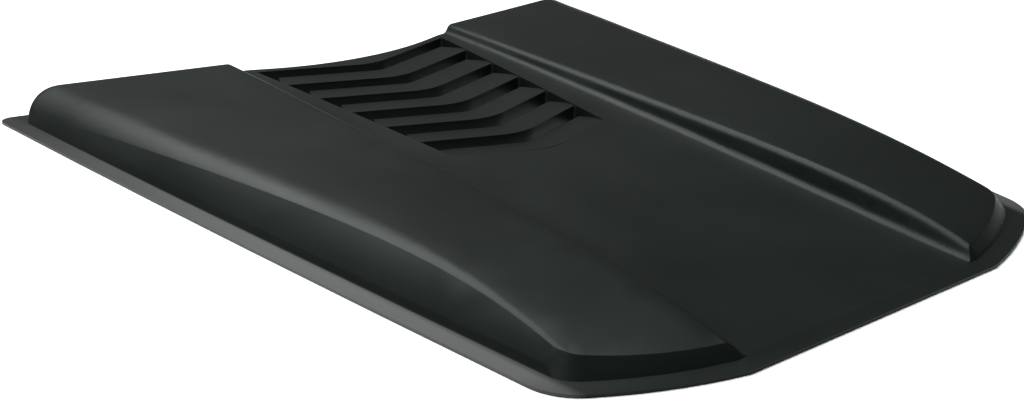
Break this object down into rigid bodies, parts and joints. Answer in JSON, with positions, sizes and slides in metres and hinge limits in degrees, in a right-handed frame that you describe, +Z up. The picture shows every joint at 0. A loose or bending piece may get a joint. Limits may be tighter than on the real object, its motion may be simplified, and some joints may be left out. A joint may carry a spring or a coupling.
{
  "type": "bonnet grille",
  "caption": "One-piece moulded bonnet cover with two raised pods, a channel between them and chevron louvre slots at its rear.",
  "frame": {"origin": "centre of the plan's bounding rectangle, on the underside of the flange", "axes": "+X across the car, +Y back towards the windscreen, +Z up from the bonnet"},
  "size_m": [0.8504, 0.908, 0.0418],
  "materials": {
    "moulded_plastic": "satin charcoal black"
  },
  "bodies": {
    "root": {"grille_panel": "moulded_plastic"}
  },
  "joints": []
}
